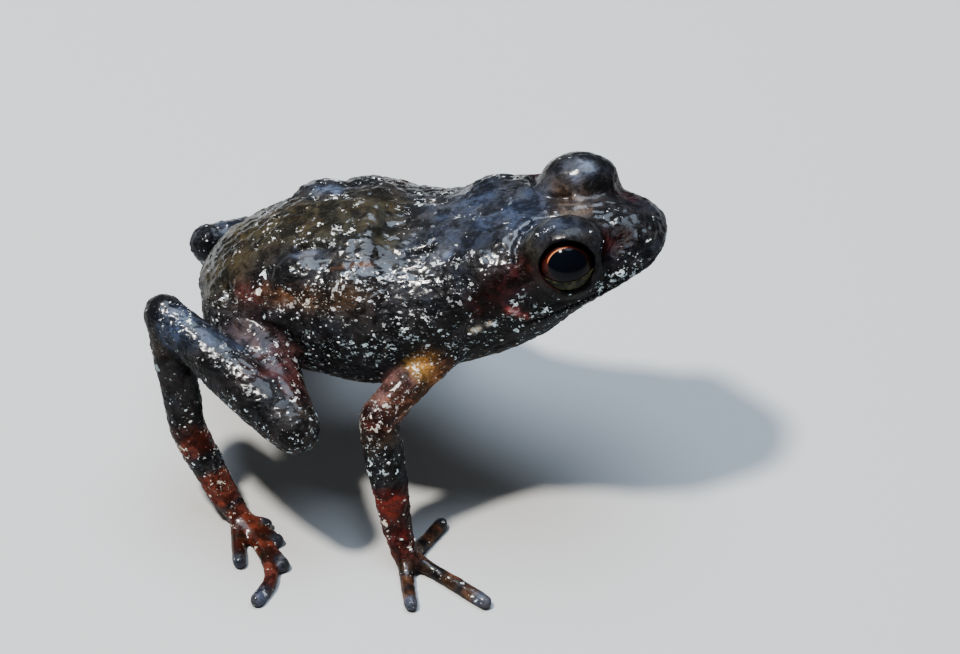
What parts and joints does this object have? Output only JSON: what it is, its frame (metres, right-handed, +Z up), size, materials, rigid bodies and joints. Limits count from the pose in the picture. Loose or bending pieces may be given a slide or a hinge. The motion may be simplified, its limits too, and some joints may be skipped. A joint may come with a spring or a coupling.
{
  "type": "drewes moss frog",
  "caption": "Still, life-size model of a tiny moss frog standing high on its legs with its head raised.",
  "frame": {"origin": "on the floor, under the middle of the frog's bounding box", "axes": "+X forward, from vent to snout; +Y to the frog's left; +Z up from the floor"},
  "size_m": [0.0186, 0.0206, 0.0126],
  "materials": {
    "skin": "gloss",
    "eye": "gloss"
  },
  "bodies": {
    "root": {"head": "skin", "torso": "skin", "left_upper_arm": "skin", "left_forearm": "skin", "left_hand": "skin", "left_thigh": "skin", "left_shank": "skin", "left_tarsus": "skin", "left_foot": "skin", "right_upper_arm": "skin", "right_forearm": "skin", "right_hand": "skin", "right_thigh": "skin", "right_shank": "skin", "right_tarsus": "skin", "right_foot": "skin", "left_eye": "eye", "right_eye": "eye"}
  },
  "joints": []
}
